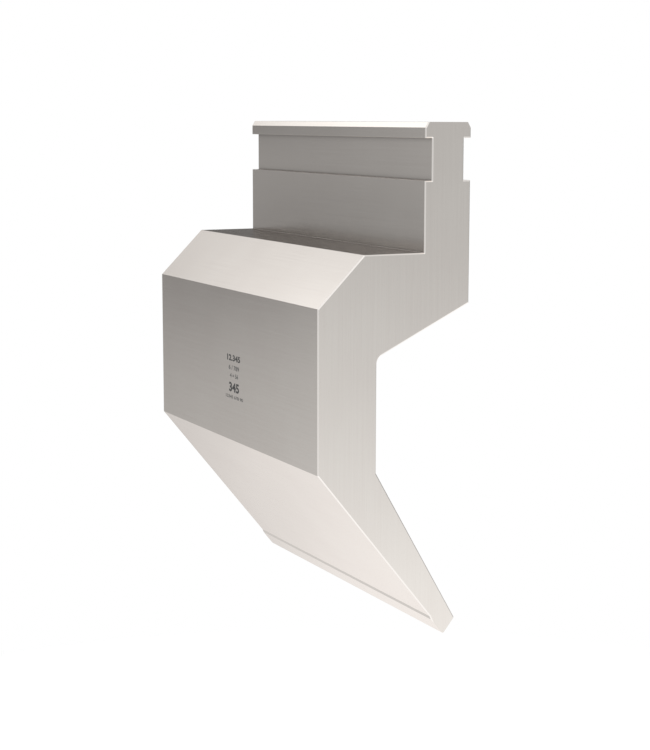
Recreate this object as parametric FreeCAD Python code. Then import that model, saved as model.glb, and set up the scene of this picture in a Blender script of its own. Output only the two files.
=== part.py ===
import FreeCAD, Part
import os
from math import cos, radians, sin, tan
from FreeCAD import Vector

# Gooseneck punch for a press brake: one ground bar of tool steel, the same section all along X.
# The origin is at mid-length, on the tang's centre plane, level with the load shoulder.
# -Y is the front face, +Y the open throat, +Z up into the press's upper beam. Sizes in mm.

LENGTH = 200.0
TANG_HEIGHT = 61.5          # load shoulder to the top of the head
WORKING_HEIGHT = 188.5      # load shoulder down to the nose

# Tang and its T-shaped head
TANG_WIDTH = 25.0
HEAD_THICKNESS = 7.5
HEAD_CHAMFER = 1.5          # width; it is steep, so that the tang finds its way into the clamp
HEAD_CHAMFER_ANGLE = 30.0   # from the vertical
NECK_WIDTH = 17.4
GROOVE_HEIGHT = 20.0
ROOT_RADIUS = 0.15          # ground inner corners of the grooves and of the shoulder

# Body in front of the tang
SHOULDER_DEPTH = 32.25      # width of the load shoulder, from the tang forwards
FRONT_CHAMFER = 24.25       # 45 degrees, from the shoulder down to the front face
WEB_THICKNESS = 31.2        # front face to the relief wall, the thinnest place of the neck

# Throat at the back, which clears a flange that is already bent up
UNDERSIDE_ANGLE = 25.5      # slope of the throat's roof above the horizontal
TANG_BACK_DROP = 25.0       # load shoulder down to the foot of the tang's back face
THROAT_RADIUS = 5.0
BACK_SLOPE_ANGLE = 30.0     # from the vertical

# Ground tip
TIP_HALF_ANGLE = 39.0       # each flank from the vertical
NOSE_RADIUS = 1.0
FLANK_HEIGHT = 7.5          # nose up to the step on the front flank
BACK_FLANK_HEIGHT = 7.3     # nose up to the corner with the back slope
RELIEF_STEP = 0.5           # the front slope lies this far behind the ground flank
RELIEF_RUN_OUT = 15.0       # angle between the flank and the face left by the wheel's run-out

# Edges
END_CHAMFER = 0.6           # 45 degrees, round both ends, the ground tip and the top face apart
EDGE_RADIUS = 0.1           # long outer edges, only stoned

SHARP = 0.0


def tang_corners(side):
    """Corners of one side of the tang from the head's top down to the foot of the groove."""
    half_tang = TANG_WIDTH / 2
    half_neck = NECK_WIDTH / 2
    chamfer_foot = TANG_HEIGHT - HEAD_CHAMFER / tan(radians(HEAD_CHAMFER_ANGLE))
    head_foot = TANG_HEIGHT - HEAD_THICKNESS
    groove_foot = head_foot - GROOVE_HEIGHT
    return [
        (side * (half_tang - HEAD_CHAMFER), TANG_HEIGHT, EDGE_RADIUS),
        (side * half_tang, chamfer_foot, EDGE_RADIUS),
        (side * half_tang, head_foot, EDGE_RADIUS),
        (side * half_neck, head_foot, ROOT_RADIUS),
        (side * half_neck, groove_foot, ROOT_RADIUS),
        (side * half_tang, groove_foot, EDGE_RADIUS),
    ]


def tip_corners():
    """Corners of the tip: relief step, ground front flank, nose and back flank.

    Both flanks meet in a sharp apex below the nose, on the tang's centre plane. The nose
    radius touches both, so its lowest point is radius * (1 / sin(half angle) - 1) above the apex.
    The step goes in by its depth and up the flank by depth / tan(run-out angle).
    """
    half_angle = radians(TIP_HALF_ANGLE)
    apex_z = -WORKING_HEIGHT - NOSE_RADIUS * (1 / sin(half_angle) - 1)
    step_z = FLANK_HEIGHT - WORKING_HEIGHT
    step_y = (apex_z - step_z) * tan(half_angle)
    run_out = RELIEF_STEP / tan(radians(RELIEF_RUN_OUT))
    slope_y = step_y + RELIEF_STEP * cos(half_angle) - run_out * sin(half_angle)
    slope_z = step_z + RELIEF_STEP * sin(half_angle) + run_out * cos(half_angle)
    back_z = BACK_FLANK_HEIGHT - WORKING_HEIGHT
    back_y = (back_z - apex_z) * tan(half_angle)
    return [
        (slope_y, slope_z, SHARP),
        (step_y, step_z, SHARP),
        (0.0, apex_z, NOSE_RADIUS),
        (back_y, back_z, EDGE_RADIUS),
    ]


def profile_corners():
    """The whole section, once round from the head's front: (y, z, radius of the long edge)."""
    half_tang = TANG_WIDTH / 2
    shoulder_y = -half_tang - SHOULDER_DEPTH
    front_y = shoulder_y - FRONT_CHAMFER
    wall_y = front_y + WEB_THICKNESS
    tip = tip_corners()
    slope_y, slope_z = tip[0][:2]
    back_y, back_z = tip[-1][:2]
    front_foot_z = slope_z + (slope_y - front_y) / tan(radians(TIP_HALF_ANGLE))
    wall_foot_z = back_z + (back_y - wall_y) / tan(radians(BACK_SLOPE_ANGLE))
    roof_z = -TANG_BACK_DROP - (half_tang - wall_y) * tan(radians(UNDERSIDE_ANGLE))
    body_front = [
        (-half_tang, 0.0, ROOT_RADIUS),
        (shoulder_y, 0.0, EDGE_RADIUS),
        (front_y, -FRONT_CHAMFER, EDGE_RADIUS),
        (front_y, front_foot_z, EDGE_RADIUS),
    ]
    throat = [
        (wall_y, wall_foot_z, SHARP),
        (wall_y, roof_z, THROAT_RADIUS),
        (half_tang, -TANG_BACK_DROP, EDGE_RADIUS),
    ]
    return tang_corners(-1) + body_front + tip + throat + tang_corners(+1)[::-1]


def long_edges(solid, corners, radii):
    """Edges along X that stand on the corners whose radius is one of radii."""
    places = [Vector(0, y, z) for y, z, radius in corners if radius in radii]
    found = []
    for edge in solid.Edges:
        start, end = edge.Vertexes[0].Point, edge.Vertexes[-1].Point
        foot = Vector(0, start.y, start.z)
        is_long = abs(start.x - end.x) > LENGTH / 2
        if is_long and any(foot.isEqual(place, 1e-6) for place in places):
            found.append(edge)
    return found


def end_edges(solid, lowest_z, highest_z):
    """Edges of both end faces that reach above lowest_z and below highest_z."""
    ends = [edge for edge in solid.Edges if edge.BoundBox.XLength < 1e-6]
    low = [edge for edge in ends if edge.BoundBox.ZMin < highest_z - 1e-6]
    return [edge for edge in low if edge.BoundBox.ZMax > lowest_z + 1e-6]


def punch():
    """Extrudes the section, rounds its corners and chamfers both ends.

    The end chamfers start at the head's top face, which stays sharp, and end at the ground flank.
    """
    corners = profile_corners()
    points = [Vector(-LENGTH / 2, y, z) for y, z, radius in corners]
    section = Part.Face(Part.makePolygon(points + points[:1]))
    solid = section.extrude(Vector(LENGTH, 0, 0))
    for radius in (ROOT_RADIUS, THROAT_RADIUS, NOSE_RADIUS):
        solid = solid.makeFillet(radius, long_edges(solid, corners, [radius]))
    flank_top_z = tip_corners()[1][1]
    solid = solid.makeChamfer(END_CHAMFER, end_edges(solid, flank_top_z, TANG_HEIGHT))
    return solid.makeFillet(EDGE_RADIUS, long_edges(solid, corners, [EDGE_RADIUS]))


os.makedirs("parts", exist_ok=True)
punch().exportStep("parts/punch_body.step")
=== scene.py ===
# Looks of a press brake punch: fine ground tool steel, a dark laser marking of plain numbers and a
# white light tent. Everything is in metres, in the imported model's own frame.
import math

import bmesh
import bpy
import numpy as np
from bpy.props import FloatProperty, FloatVectorProperty, PointerProperty
from mathutils import Matrix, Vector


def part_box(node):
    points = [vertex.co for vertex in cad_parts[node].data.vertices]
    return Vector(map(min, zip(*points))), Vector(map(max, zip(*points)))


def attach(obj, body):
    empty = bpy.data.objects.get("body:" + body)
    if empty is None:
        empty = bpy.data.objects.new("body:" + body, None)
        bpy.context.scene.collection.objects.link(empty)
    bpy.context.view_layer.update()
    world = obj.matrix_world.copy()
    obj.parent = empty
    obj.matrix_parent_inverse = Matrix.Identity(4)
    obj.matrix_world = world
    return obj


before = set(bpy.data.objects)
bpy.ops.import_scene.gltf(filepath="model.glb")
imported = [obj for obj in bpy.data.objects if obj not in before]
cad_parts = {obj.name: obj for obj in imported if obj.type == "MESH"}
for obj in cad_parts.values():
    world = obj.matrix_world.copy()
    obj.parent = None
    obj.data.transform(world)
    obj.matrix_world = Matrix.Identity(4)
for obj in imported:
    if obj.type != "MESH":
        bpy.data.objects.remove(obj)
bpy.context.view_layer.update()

bl_info = {
    "name": "Press Brake Punch Looks",
    "version": (1, 0, 0),
    "blender": (4, 5, 0),
    "location": "3D View > Sidebar > Punch",
    "description": "Finishes the punch's ground steel, marks its front and sets up the studio",
    "category": "Object",
}

MM = 0.001
PUNCH = "punch_body"
PUNCH_LOW, PUNCH_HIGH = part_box(PUNCH)


def linear_colour(hex_code):
    """Linear RGBA of an sRGB hex colour: each channel is undone by the sRGB curve."""
    srgb = np.array([int(hex_code[i:i + 2], 16) for i in (0, 2, 4)]) / 255
    linear = np.where(srgb <= 0.04045, srgb / 12.92, ((srgb + 0.055) / 1.055) ** 2.4)
    return (*linear.tolist(), 1.0)


def add_node(tree, kind, settings=None, sockets=None):
    """Adds a node, sets its own properties, then fills or links each named or numbered socket."""
    node = tree.nodes.new(kind)
    for name, value in (settings or {}).items():
        setattr(node, name, value)
    for socket, value in (sockets or {}).items():
        if isinstance(value, bpy.types.NodeSocket):
            tree.links.new(value, node.inputs[socket])
        else:
            node.inputs[socket].default_value = value
    return node


def new_material(name):
    """An empty node material and its tree."""
    material = bpy.data.materials.new(name)
    material.use_nodes = True
    material.node_tree.nodes.clear()
    return material, material.node_tree


def new_object(name, vertices, faces, material):
    """An object at the origin, whose mesh holds the vertices where they stand."""
    mesh = bpy.data.meshes.new(name)
    mesh.from_pydata(np.asarray(vertices).tolist(), [], np.asarray(faces).tolist())
    mesh.materials.append(material)
    mesh.validate()
    piece = bpy.data.objects.new(name, mesh)
    bpy.context.scene.collection.objects.link(piece)
    return piece


def grid_faces(rows, columns):
    """Quads between neighbouring points of a grid that is stored row by row."""
    first = (np.arange(rows - 1)[:, None] * columns + np.arange(columns - 1)).ravel()
    return np.stack([first, first + 1, first + columns + 1, first + columns], axis=1)


class PunchSteelSettings(bpy.types.PropertyGroup):
    """Colour and surface of the ground steel."""

    dark: FloatVectorProperty(
        name="Dark tone", description="Steel in the valleys of the grinding lines",
        subtype="COLOR", size=4, min=0, max=1, default=linear_colour("E8E2DC"))
    light: FloatVectorProperty(
        name="Light tone", description="Steel on the crests of the grinding lines",
        subtype="COLOR", size=4, min=0, max=1, default=linear_colour("ECE7E1"))
    edge_on: FloatVectorProperty(
        name="Edge-on tint", description="Tint of what the steel mirrors where it is seen edge-on",
        subtype="COLOR", size=4, min=0, max=1, default=linear_colour("FFFBF9"))
    # Painted highlight: the chamfers' brighter tone stands in for the light they catch, on top of what
    # they really mirror.
    chamfer: FloatVectorProperty(
        name="Chamfer tone", description="Freshly cut steel of the chamfers round both ends",
        subtype="COLOR", size=4, min=0, max=1, default=linear_colour("FAF5F0"))
    # A darker tone on the narrow band above the front flank; only the colour changes there, not the
    # roughness.
    run_out: FloatVectorProperty(
        name="Run-out tone", description="Dull steel of the narrow band where the wheel ran out",
        subtype="COLOR", size=4, min=0, max=1, default=linear_colour("C4C0BB"))
    # Painted shade: a dark tone laid into the inner corners where shade falls, darker towards each
    # corner; it is not oil or dust.
    corner_shade: FloatVectorProperty(
        name="Corner shade tone", description="Old oil and fine dust that stay in the inner corners",
        subtype="COLOR", size=4, min=0, max=1, default=linear_colour("1E1C1A"))
    roughness: FloatProperty(
        name="Roughness", description="Satin of the ground faces",
        subtype="FACTOR", min=0, max=1, default=0.2)
    tip_roughness: FloatProperty(
        name="Tip roughness", description="Finer satin of the two flanks that meet at the nose",
        subtype="FACTOR", min=0, max=1, default=0.18)
    roughness_spread: FloatProperty(
        name="Roughness spread", description="How much the roughness varies either way",
        subtype="FACTOR", min=0, max=1, default=0.01)
    flank_height: FloatProperty(
        name="Flank height", description="Height of the finely ground tip above the nose",
        unit="LENGTH", default=7.5 * MM)
    run_out_height: FloatProperty(
        name="Run-out height", description="Height of the dull band above the front flank",
        unit="LENGTH", default=1.76 * MM)
    line_pitch: FloatProperty(
        name="Line pitch", description="Distance between the grinding lines",
        unit="LENGTH", default=0.7 * MM)
    line_length: FloatProperty(
        name="Line length", description="Length over which one grinding line fades out",
        unit="LENGTH", default=70 * MM)
    line_depth: FloatProperty(
        name="Line depth", description="Height of the grinding lines",
        unit="LENGTH", default=0.003 * MM)
    cloud_size: FloatProperty(
        name="Cloud size", description="Width of the faint uneven patches from the grinding wheel",
        unit="LENGTH", default=45 * MM)


class PunchMarkingSettings(bpy.types.PropertyGroup):
    """Colour and place of the laser marking."""

    dark: FloatVectorProperty(
        name="Main rows", description="Dark annealed steel of the bold numbers",
        subtype="COLOR", size=4, min=0, max=1, default=linear_colour("464646"))
    pale: FloatVectorProperty(
        name="Minor rows", description="Thinly marked steel of the small numbers",
        subtype="COLOR", size=4, min=0, max=1, default=linear_colour("626261"))
    thickness: FloatProperty(
        name="Thickness", description="Height of the marked skin over the steel",
        unit="LENGTH", default=0.02 * MM)


class PunchStageSettings(bpy.types.PropertyGroup):
    """Sizes and tones of the studio."""

    floor_drop: FloatProperty(
        name="Floor drop", description="Distance from the nose down to the floor",
        unit="LENGTH", default=0.21)
    floor_radius: FloatProperty(
        name="Floor radius", description="Radius of the round floor",
        unit="LENGTH", default=0.6)
    tent_radius: FloatProperty(
        name="Tent radius", description="Distance from the punch to the light tent round it",
        unit="LENGTH", default=1.3)
    lamp_height: FloatProperty(
        name="Lamp height", description="Height of the soft lamp over the load shoulder",
        unit="LENGTH", default=0.9)
    lamp_width: FloatProperty(
        name="Lamp width", description="Width of the round soft lamp",
        unit="LENGTH", default=0.35)
    lamp_power: FloatProperty(
        name="Lamp power", description="Power of the soft lamp",
        unit="POWER", default=7)
    paper: FloatVectorProperty(
        name="Floor paper", description="White paper under the punch",
        subtype="COLOR", size=4, min=0, max=1, default=linear_colour("F4F4F4"))


# Inner corners darkened with painted shade, darker towards each corner: place across and up, and reach,
# all in mm
SHADED_CORNERS = ((-8.7, 54.0, 0.9), (8.7, 54.0, 0.9), (-8.7, 34.0, 0.7), (8.7, 34.0, 0.7),
                (-12.5, 0.0, 0.5))
# Strength of the painted shade in the inner corners
CORNER_SHADE_SHARE = 0.55


def painted_corner_shade(tree, place):
    """Share of the painted corner shade: the most of share * exp(-distance / reach) over the shaded
    corners.
    """
    section = add_node(
        tree, "ShaderNodeVectorMath", {"operation": "MULTIPLY"}, {0: place, 1: (0, 1, 1)})
    corner_shade = 0.0
    for across, up, reach in SHADED_CORNERS:
        away = add_node(
            tree, "ShaderNodeVectorMath", {"operation": "DISTANCE"},
            {0: section.outputs[0], 1: (0, across * MM, up * MM)})
        faded = add_node(
            tree, "ShaderNodeMath", {"operation": "MULTIPLY"},
            {0: away.outputs["Value"], 1: -1 / (reach * MM)})
        left = add_node(tree, "ShaderNodeMath", {"operation": "EXPONENT"}, {0: faded.outputs[0]})
        corner_shade = add_node(
            tree, "ShaderNodeMath", {"operation": "MAXIMUM"}, {0: left.outputs[0], 1: corner_shade}).outputs[0]
    share = add_node(tree, "ShaderNodeMath", {"operation": "MULTIPLY"}, {0: corner_shade, 1: CORNER_SHADE_SHARE})
    return share.outputs[0]


# A face lies across an axis where its normal's part along the axis is over the first value, and
# runs along the axis where that part is under the second.
FACES_AXIS, ALONG_AXIS = 0.9, 0.5
# The part along X of the end chamfers' normals, which are at 45 degrees to it
SLANT, SLANT_TOLERANCE = math.sqrt(0.5), 0.1


def punch_masks(tree, place, settings):
    """Sockets that are 1 on one kind of face and 0 elsewhere, worked out from place and normal.

    end: the two end faces. side: the long faces. chamfer: the 45 degree chamfers round the ends.
    flank: the tip below the step. run_out: the narrow band above the front flank.
    """
    where = add_node(tree, "ShaderNodeSeparateXYZ", sockets={0: place["Object"]}).outputs
    normal = add_node(tree, "ShaderNodeSeparateXYZ", sockets={0: place["Normal"]}).outputs
    endwise = add_node(tree, "ShaderNodeMath", {"operation": "ABSOLUTE"}, {0: normal["X"]})
    end = add_node(
        tree, "ShaderNodeMath", {"operation": "GREATER_THAN"}, {0: endwise.outputs[0], 1: FACES_AXIS})
    side = add_node(
        tree, "ShaderNodeMath", {"operation": "LESS_THAN"}, {0: endwise.outputs[0], 1: ALONG_AXIS})
    chamfer = add_node(
        tree, "ShaderNodeMath", {"operation": "COMPARE"},
        {0: endwise.outputs[0], 1: SLANT, 2: SLANT_TOLERANCE})

    step = PUNCH_LOW.z + settings.flank_height
    half_run_out = settings.run_out_height / 2
    below_step = add_node(tree, "ShaderNodeMath", {"operation": "LESS_THAN"}, {0: where["Z"], 1: step})
    flank = add_node(
        tree, "ShaderNodeMath", {"operation": "SUBTRACT", "use_clamp": True},
        {0: below_step.outputs[0], 1: end.outputs[0]})
    above_step = add_node(
        tree, "ShaderNodeMath", {"operation": "COMPARE"},
        {0: where["Z"], 1: step + half_run_out, 2: half_run_out})
    in_front = add_node(tree, "ShaderNodeMath", {"operation": "LESS_THAN"}, {0: where["Y"], 1: 0})
    front_side = add_node(
        tree, "ShaderNodeMath", {"operation": "MULTIPLY"}, {0: in_front.outputs[0], 1: side.outputs[0]})
    run_out = add_node(
        tree, "ShaderNodeMath", {"operation": "MULTIPLY"},
        {0: above_step.outputs[0], 1: front_side.outputs[0]})
    masks = {"end": end, "side": side, "chamfer": chamfer, "flank": flank, "run_out": run_out}
    return {name: mask.outputs[0] for name, mask in masks.items()}


# The grinding lines: how many finer sets of lines they hold, how strong those are, and the relief
LINE_DETAIL, LINE_FINENESS, LINE_RELIEF = 2.0, 0.6, 0.5
CLOUD_DETAIL = 3.0
# Lines and clouds are mixed into a mottle. The roughness varies over the wider range of its values
# and the colour over the narrower one.
CLOUD_SHARE = 0.5
ROUGHNESS_RANGE, COLOUR_RANGE = (0.3, 0.7), (0.35, 0.65)


def ground_steel(settings):
    """Ground tool steel, finished by a fine wheel along the bar and across its ends.

    It gives the eye a bright warm satin with faint lines along the bar, which only show close by,
    slightly uneven patches where the wheel dwelt, and a finer sheen on the two flanks of the nose.
    Nearly white chamfers round both ends catch the light, and their brighter tone adds a painted
    highlight. A narrow band above the front flank, where the wheel ran out, has a darker tone. Painted
    shade darkens the inner corners.
    Real wheel marks are about 0.1 mm apart, too fine to show, so they are drawn coarser.
    """
    material, tree = new_material("ground_tool_steel")
    place = add_node(tree, "ShaderNodeTexCoord").outputs
    masks = punch_masks(tree, place, settings)

    across, along = 1 / settings.line_pitch, 1 / settings.line_length
    along_bar = add_node(
        tree, "ShaderNodeMapping", sockets={"Vector": place["Object"], "Scale": (along, across, across)})
    down_end = add_node(
        tree, "ShaderNodeMapping", sockets={"Vector": place["Object"], "Scale": (across, across, along)})
    line_place = add_node(
        tree, "ShaderNodeMix", {"data_type": "VECTOR"},
        {"Factor": masks["end"], 4: along_bar.outputs[0], 5: down_end.outputs[0]})
    lines = add_node(
        tree, "ShaderNodeTexNoise",
        sockets={"Vector": line_place.outputs[1], "Scale": 1.0, "Detail": LINE_DETAIL,
                 "Roughness": LINE_FINENESS})
    clouds = add_node(
        tree, "ShaderNodeTexNoise",
        sockets={"Vector": place["Object"], "Scale": 1 / settings.cloud_size,
                 "Detail": CLOUD_DETAIL})
    mottle = add_node(
        tree, "ShaderNodeMix",
        sockets={"Factor": CLOUD_SHARE, 2: lines.outputs["Fac"], 3: clouds.outputs["Fac"]})

    satin = add_node(
        tree, "ShaderNodeMix",
        sockets={"Factor": masks["flank"], 2: settings.roughness, 3: settings.tip_roughness})
    uneven = add_node(
        tree, "ShaderNodeMapRange",
        sockets={"Value": mottle.outputs[0],
                 "From Min": ROUGHNESS_RANGE[0], "From Max": ROUGHNESS_RANGE[1],
                 "To Min": -settings.roughness_spread, "To Max": settings.roughness_spread})
    roughness = add_node(
        tree, "ShaderNodeMath", {"operation": "ADD"}, {0: satin.outputs[0], 1: uneven.outputs[0]})

    tone = add_node(
        tree, "ShaderNodeMapRange",
        sockets={"Value": mottle.outputs[0],
                 "From Min": COLOUR_RANGE[0], "From Max": COLOUR_RANGE[1]})
    colour = add_node(
        tree, "ShaderNodeMix", {"data_type": "RGBA"},
        {"Factor": tone.outputs[0], 6: settings.dark, 7: settings.light})
    # Painted shade in the inner corners of the long faces, stronger towards each corner.
    shade_on_sides = add_node(
        tree, "ShaderNodeMath", {"operation": "MULTIPLY"},
        {0: painted_corner_shade(tree, place["Object"]), 1: masks["side"]})
    # The chamfers' brighter tone is a painted highlight.
    layers = ((masks["chamfer"], settings.chamfer), (masks["run_out"], settings.run_out),
              (shade_on_sides.outputs[0], settings.corner_shade))
    for share, layer in layers:
        colour = add_node(
            tree, "ShaderNodeMix", {"data_type": "RGBA"},
            {"Factor": share, 6: colour.outputs[2], 7: layer})

    relief = add_node(
        tree, "ShaderNodeBump",
        sockets={"Strength": LINE_RELIEF, "Distance": settings.line_depth,
                 "Height": lines.outputs["Fac"]})
    steel = add_node(
        tree, "ShaderNodeBsdfPrincipled",
        sockets={"Base Color": colour.outputs[2], "Metallic": 1.0,
                 "Specular Tint": settings.edge_on,
                 "Roughness": roughness.outputs[0], "Normal": relief.outputs[0]})
    add_node(tree, "ShaderNodeOutputMaterial", sockets={0: steel.outputs[0]})
    return material


# Real laser passes are about 0.05 mm apart, too fine to show, so they are drawn this wide
PASS_WIDTH = 0.4 * MM
PASS_DETAIL = 2.0
# Least and most roughness of the mark, and least and most share of its colour
MARK_ROUGHNESS, MARK_TONE = (0.5, 0.7), (0.8, 1.2)


def laser_mark(name, colour):
    """Laser-annealed steel, darkened by heat without cutting the surface.

    It gives the eye a dull dark grey, a little uneven from one laser pass to the next.
    """
    material, tree = new_material(name)
    place = add_node(tree, "ShaderNodeTexCoord").outputs
    passes = add_node(
        tree, "ShaderNodeTexNoise",
        sockets={"Vector": place["Object"], "Scale": 1 / PASS_WIDTH, "Detail": PASS_DETAIL})
    roughness = add_node(
        tree, "ShaderNodeMapRange",
        sockets={"Value": passes.outputs["Fac"],
                 "To Min": MARK_ROUGHNESS[0], "To Max": MARK_ROUGHNESS[1]})
    uneven = add_node(
        tree, "ShaderNodeMapRange",
        sockets={"Value": passes.outputs["Fac"], "To Min": MARK_TONE[0], "To Max": MARK_TONE[1]})
    tone = add_node(
        tree, "ShaderNodeMix", {"data_type": "RGBA", "blend_type": "MULTIPLY"},
        {"Factor": 1.0, 6: colour, 7: uneven.outputs[0]})
    mark = add_node(
        tree, "ShaderNodeBsdfPrincipled",
        sockets={"Base Color": tone.outputs[2], "Roughness": roughness.outputs[0]})
    add_node(tree, "ShaderNodeOutputMaterial", sockets={0: mark.outputs[0]})
    return material


class PUNCH_OT_finish_steel(bpy.types.Operator):
    """Gives the punch its ground steel"""

    bl_idname = "punch.finish_steel"
    bl_label = "Finish steel"

    def execute(self, context):
        steel = ground_steel(context.scene.punch_steel)
        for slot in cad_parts[PUNCH].material_slots:
            slot.material = steel
        return {"FINISHED"}


# Rows of the marking: plain numbers, how far their strokes are thickened in the font's units, left,
# right, top and foot in mm, and if it is a main row. Left and right are measured from mid-length,
# top and foot from the load shoulder.
MARKING_ROWS = (
    ("12.345", 0.035, -6.75, 10.0, -58.0, -61.25, True),
    ("6 / 789", 0.02, -4.75, 8.5, -63.5, -66.0, False),
    ("4 = 56", 0.025, -3.25, 7.25, -67.75, -70.0, False),
    ("345", 0.035, -4.5, 8.25, -72.5, -77.5, True),
    ("12345 678 90", 0.02, -8.75, 13.25, -79.25, -81.0, False),
)


# Steps in each curve of a number, and how near to each other points are merged, in the font's units
CURVE_STEPS, MERGE_DISTANCE = 4, 1e-5


def number_plate(text, stroke_offset):
    """Vertices and faces of a row of numbers, as a plate from depth 0 to 1 and 1 unit wide and high.

    The font's outline is filled and given a thickness, and its box is stretched to the unit box.
    """
    curve = bpy.data.curves.new("numbers", "FONT")
    curve.body = text
    curve.offset = stroke_offset
    curve.extrude = 0.5
    curve.resolution_u = CURVE_STEPS
    carrier = bpy.data.objects.new("numbers", curve)
    mesh = bpy.data.meshes.new_from_object(carrier)
    shell = bmesh.new()
    shell.from_mesh(mesh)
    bmesh.ops.remove_doubles(shell, verts=shell.verts, dist=MERGE_DISTANCE)
    bmesh.ops.triangulate(shell, faces=shell.faces)
    bmesh.ops.recalc_face_normals(shell, faces=shell.faces)
    shell.to_mesh(mesh)
    shell.free()
    points = np.empty(len(mesh.vertices) * 3)
    mesh.vertices.foreach_get("co", points)
    faces = np.empty(len(mesh.polygons) * 3, dtype=int)
    mesh.polygons.foreach_get("vertices", faces)
    bpy.data.objects.remove(carrier)
    bpy.data.curves.remove(curve)
    bpy.data.meshes.remove(mesh)
    points = points.reshape(-1, 3)
    low, high = points.min(0), points.max(0)
    return (points - low) / (high - low), faces.reshape(-1, 3)


class PUNCH_OT_mark_front(bpy.types.Operator):
    """Lays the rows of plain numbers on the front face"""

    bl_idname = "punch.mark_front"
    bl_label = "Mark front"

    def execute(self, context):
        settings = context.scene.punch_marking
        dark = laser_mark("laser_annealed_dark", settings.dark)
        pale = laser_mark("laser_annealed_pale", settings.pale)
        for number, (text, offset, left, right, top, foot, main_row) in enumerate(MARKING_ROWS, 1):
            unit, faces = number_plate(text, offset)
            across = (left + (right - left) * unit[:, 0]) * MM
            outward = PUNCH_LOW.y - settings.thickness * unit[:, 2]
            up = (foot + (top - foot) * unit[:, 1]) * MM
            row = new_object(
                f"marking_row_{number}", np.stack([across, outward, up], axis=1), faces,
                dark if main_row else pale)
            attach(row, "root")
        return {"FINISHED"}


# The tent's tone is 1 where it is plain white. Grey and bright areas fade out softly round their
# middle: direction and elevation of the middle, half width and half height in degrees, and tone.
# Directions are turned from +X towards +Y.
TENT_AREAS = (
    ("left flag", 198, 11.5, 11, 5, -1.2),
    ("front flag", 212, 19, 14, 7.5, -0.95),
    ("front flag's foot", 208, -1, 14, 5, -0.31),
    ("left high softbox", 196.5, 30.5, 6, 9.5, 0.96),
    ("left side grey", 190, -11.5, 28.5, 14.5, -0.39),
    ("left low grey", 163, -20.5, 11, 13, -0.29),
    ("back grey", 159, 7.5, 9.5, 11, -0.61),
    ("side back grey", 112, 1, 14, 15, -0.45),
    ("high back grey", 74, 60, 26, 13, -0.26),
    ("wide front grey", 264, -4, 24, 28, -0.22),
    ("right grey", 30, 3, 13, 13.5, -0.13),
    ("right low softbox", 25.5, -26, 18, 10, 0.24),
)
# Grey bands all round it, one above the horizon and one at the top: elevation, half height and depth
TENT_BANDS = ((10.5, 30.5, 0.35), (90, 20, 0.2))
TENT_CENTRE = np.array([0.0, -0.03, -0.06])
# Degrees between neighbouring points
TENT_STEP = 2.5


def tent_tone(direction, elevation):
    """Tone of the tent: white, less the grey bands, with the areas added.

    Bands and areas fall off as exp(-x^2), x being the distance from their middle over their half
    size.
    """
    tone = 1
    for height, half_height, depth in TENT_BANDS:
        tone = tone - depth * np.exp(-((elevation - height) / half_height) ** 2)
    for _, middle, height, half_width, half_height, depth in TENT_AREAS:
        aside = (direction - middle + 180) % 360 - 180
        above = elevation - height
        tone = tone + depth * np.exp(-(aside / half_width) ** 2 - (above / half_height) ** 2)
    return np.maximum(tone, 0)


def tent_material():
    """Lit tent cloth: it gives the satin steel soft grey and white areas to mirror."""
    material, tree = new_material("lit_tent_cloth")
    tone = add_node(tree, "ShaderNodeAttribute", {"attribute_name": "tone"})
    glow = add_node(
        tree, "ShaderNodeEmission",
        sockets={"Color": (1, 1, 1, 1), "Strength": tone.outputs["Fac"]})
    add_node(tree, "ShaderNodeOutputMaterial", sockets={0: glow.outputs[0]})
    material.cycles.emission_sampling = "NONE"
    return material


def add_tent(settings):
    """A dome round the punch: centre + radius * (cos e cos a, cos e sin a, sin e).

    a is the direction, once round, and e the elevation, from under the floor's rim to the top.
    """
    rim = math.degrees(math.atan2(
        PUNCH_LOW.z - settings.floor_drop - TENT_CENTRE[2], settings.floor_radius))
    elevation = np.linspace(rim, 90 - TENT_STEP / 2, round((90 - rim) / TENT_STEP))[:, None]
    direction = np.linspace(0, 360, round(360 / TENT_STEP) + 1)[None, :]
    turn, rise = np.radians(direction), np.radians(elevation)
    outward = np.stack([
        np.cos(rise) * np.cos(turn), np.cos(rise) * np.sin(turn),
        np.sin(rise) * np.ones_like(turn)], axis=-1)
    points = (TENT_CENTRE + settings.tent_radius * outward).reshape(-1, 3)
    faces = grid_faces(elevation.size, direction.size)
    tent = new_object("light_tent", points, faces, tent_material())
    tone = tent.data.attributes.new("tone", "FLOAT", "POINT")
    tone.data.foreach_set("value", tent_tone(direction, elevation).ravel())
    tent.visible_camera = False


# Share of plain white in what the camera sees of the floor, and its brightness: with the lit paper,
# which is darker than the white world, it adds up to white where no shadow falls.
FLOOR_SHARE = 0.3
FLOOR_WHITE = 1.28
# The steel mirrors the floor a little brighter than white, but for soft grey cards that lie on it:
# each card's place along and across, its half size, and how much darker it is.
FLOOR_MIRRORED = 1.02
FLOOR_CARDS = (
    ("far left card", -0.57, 0.15, 0.17, 0.33),
    ("front card", 0.0, -0.5, 0.2, 0.3),
    ("back card", 0.02, 0.24, 0.15, 0.4),
)
FLOOR_RINGS, FLOOR_SPOKES = 25, 97


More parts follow.
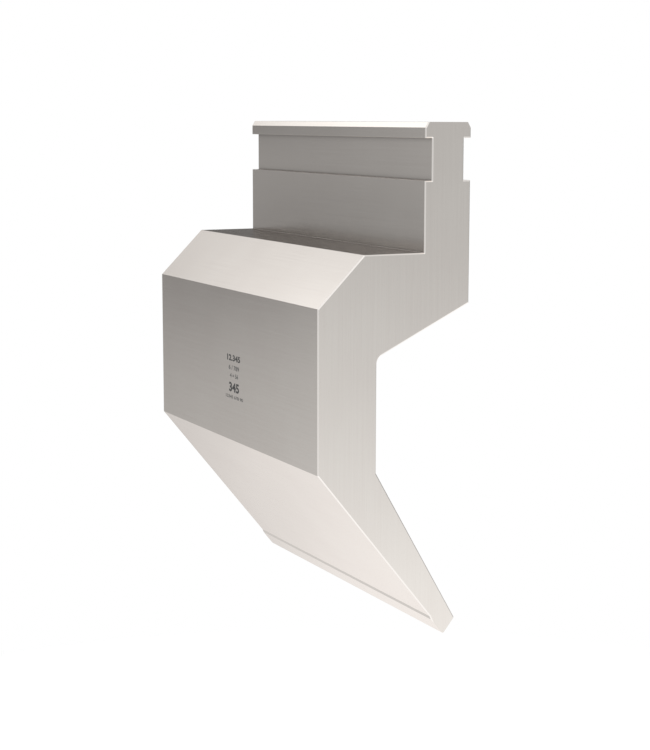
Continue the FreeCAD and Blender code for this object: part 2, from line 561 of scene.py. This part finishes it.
def floor_material(colour):
    """Matt white studio paper: it gives an even white ground with the punch's soft shadow on it.

    From below it is clear, so that the punch shows from there too.
    """
    material, tree = new_material("matt_white_paper")
    rays = add_node(tree, "ShaderNodeLightPath").outputs
    seen = add_node(
        tree, "ShaderNodeMath", {"operation": "MULTIPLY_ADD"},
        {0: rays["Is Camera Ray"], 1: FLOOR_SHARE, 2: rays["Is Glossy Ray"]})
    share = add_node(
        tree, "ShaderNodeMath", {"operation": "ADD", "use_clamp": True},
        {0: seen.outputs[0], 1: rays["Is Transmission Ray"]})
    paper = add_node(tree, "ShaderNodeBsdfDiffuse", sockets={"Color": colour})
    mirrored = add_node(tree, "ShaderNodeAttribute", {"attribute_name": "tone"})
    tone = add_node(
        tree, "ShaderNodeMix",
        sockets={"Factor": rays["Is Camera Ray"], 2: mirrored.outputs["Fac"], 3: FLOOR_WHITE})
    white = add_node(
        tree, "ShaderNodeEmission", sockets={"Color": (1, 1, 1, 1), "Strength": tone.outputs[0]})
    top = add_node(
        tree, "ShaderNodeMixShader",
        sockets={0: share.outputs[0], 1: paper.outputs[0], 2: white.outputs[0]})
    clear = add_node(tree, "ShaderNodeBsdfTransparent")
    side = add_node(tree, "ShaderNodeNewGeometry").outputs["Backfacing"]
    sheet = add_node(
        tree, "ShaderNodeMixShader", sockets={0: side, 1: top.outputs[0], 2: clear.outputs[0]})
    add_node(tree, "ShaderNodeOutputMaterial", sockets={0: sheet.outputs[0]})
    material.cycles.emission_sampling = "NONE"
    return material


def add_floor(settings):
    """A round flat floor: radius times (cosine, sine) of the angle, on rings from middle to rim.

    Its mirrored tone falls by each card's depth times exp(-x^2), x being distance over half size.
    """
    radius = np.linspace(1, 0, FLOOR_RINGS)[:, None] * settings.floor_radius
    angle = np.linspace(0, 2 * math.pi, FLOOR_SPOKES)[None, :]
    height = np.full((FLOOR_RINGS, FLOOR_SPOKES), PUNCH_LOW.z - settings.floor_drop)
    points = np.stack([radius * np.cos(angle), radius * np.sin(angle), height], axis=-1)
    faces = grid_faces(FLOOR_RINGS, FLOOR_SPOKES)
    floor = new_object("floor", points.reshape(-1, 3), faces, floor_material(settings.paper))
    mirrored = np.full((FLOOR_RINGS, FLOOR_SPOKES), FLOOR_MIRRORED)
    for _, along, across, half_size, depth in FLOOR_CARDS:
        away = np.hypot(points[..., 0] - along, points[..., 1] - across)
        mirrored -= depth * np.exp(-(away / half_size) ** 2)
    tone = floor.data.attributes.new("tone", "FLOAT", "POINT")
    tone.data.foreach_set("value", mirrored.ravel())


def add_lamp(settings):
    """A round soft lamp over the punch, which casts its soft shadow down on the floor.

    The steel doesn't mirror it, so that only the tent shapes the steel.
    """
    data = bpy.data.lights.new("soft_lamp", "AREA")
    data.shape = "DISK"
    data.size = settings.lamp_width
    data.energy = settings.lamp_power
    lamp = bpy.data.objects.new("soft_lamp", data)
    lamp.location = (0, PUNCH_LOW.y / 2, settings.lamp_height)
    lamp.visible_camera = False
    lamp.visible_glossy = False
    bpy.context.scene.collection.objects.link(lamp)


def add_world():
    """White surroundings of brightness 1, the same for the camera and for the light on the steel."""
    world = bpy.data.worlds.new("white_studio")
    world.use_nodes = True
    world.node_tree.nodes.clear()
    white = add_node(
        world.node_tree, "ShaderNodeBackground", sockets={"Color": (1, 1, 1, 1), "Strength": 1.0})
    add_node(world.node_tree, "ShaderNodeOutputWorld", sockets={0: white.outputs[0]})
    bpy.context.scene.world = world


# Camera, from the edges of the punch in the photograph: place in metres, turns in degrees and lens
# and sensor in mm
CAMERA_PLACE = (0.79906, -0.41388, 0.06363)
CAMERA_TURN = 63.494
CAMERA_PITCH = 8.645
CAMERA_ROLL = 0.065
CAMERA_LENS = 81.36
SENSOR = 36.0


def add_camera():
    """Camera turned round Z from looking along +Y, tipped down, then rolled about its own view."""
    data = bpy.data.cameras.new("camera")
    data.lens = CAMERA_LENS
    data.sensor_width = SENSOR
    camera = bpy.data.objects.new("camera", data)
    bpy.context.scene.collection.objects.link(camera)
    turn = Matrix.Rotation(math.radians(CAMERA_TURN), 4, "Z")
    pitch = Matrix.Rotation(math.radians(90 - CAMERA_PITCH), 4, "X")
    roll = Matrix.Rotation(math.radians(CAMERA_ROLL), 4, "Z")
    camera.matrix_world = Matrix.Translation(CAMERA_PLACE) @ turn @ pitch @ roll
    bpy.context.scene.camera = camera


class PUNCH_OT_set_stage(bpy.types.Operator):
    """Sets up the floor, light tent, lamp, white world and camera"""

    bl_idname = "punch.set_stage"
    bl_label = "Set stage"

    def execute(self, context):
        settings = context.scene.punch_stage
        add_floor(settings)
        add_tent(settings)
        add_lamp(settings)
        add_world()
        add_camera()
        context.scene.view_settings.view_transform = "Standard"
        return {"FINISHED"}


class PUNCH_PT_looks(bpy.types.Panel):
    """Sizes, colours and steps of the punch's looks"""

    bl_idname = "PUNCH_PT_looks"
    bl_label = "Press Brake Punch"
    bl_space_type = "VIEW_3D"
    bl_region_type = "UI"
    bl_category = "Punch"

    def draw(self, context):
        for group_name, _, operator in STEPS:
            settings = getattr(context.scene, group_name)
            box = self.layout.box()
            for name in settings.__annotations__:
                box.prop(settings, name)
            box.operator(operator.bl_idname)


# Each step of the work: the name that its settings have on the scene, their group and its operator
STEPS = (
    ("punch_steel", PunchSteelSettings, PUNCH_OT_finish_steel),
    ("punch_marking", PunchMarkingSettings, PUNCH_OT_mark_front),
    ("punch_stage", PunchStageSettings, PUNCH_OT_set_stage),
)
CLASSES = (*(group for _, group, _ in STEPS), *(operator for _, _, operator in STEPS), PUNCH_PT_looks)


def register():
    for cls in CLASSES:
        bpy.utils.register_class(cls)
    for group_name, group, _ in STEPS:
        setattr(bpy.types.Scene, group_name, PointerProperty(type=group))


def unregister():
    for group_name, _, _ in STEPS:
        delattr(bpy.types.Scene, group_name)
    for cls in reversed(CLASSES):
        bpy.utils.unregister_class(cls)


def main():
    """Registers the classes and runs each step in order."""
    register()
    bpy.ops.punch.finish_steel()
    bpy.ops.punch.mark_front()
    bpy.ops.punch.set_stage()


if __name__ == "__main__":
    main()
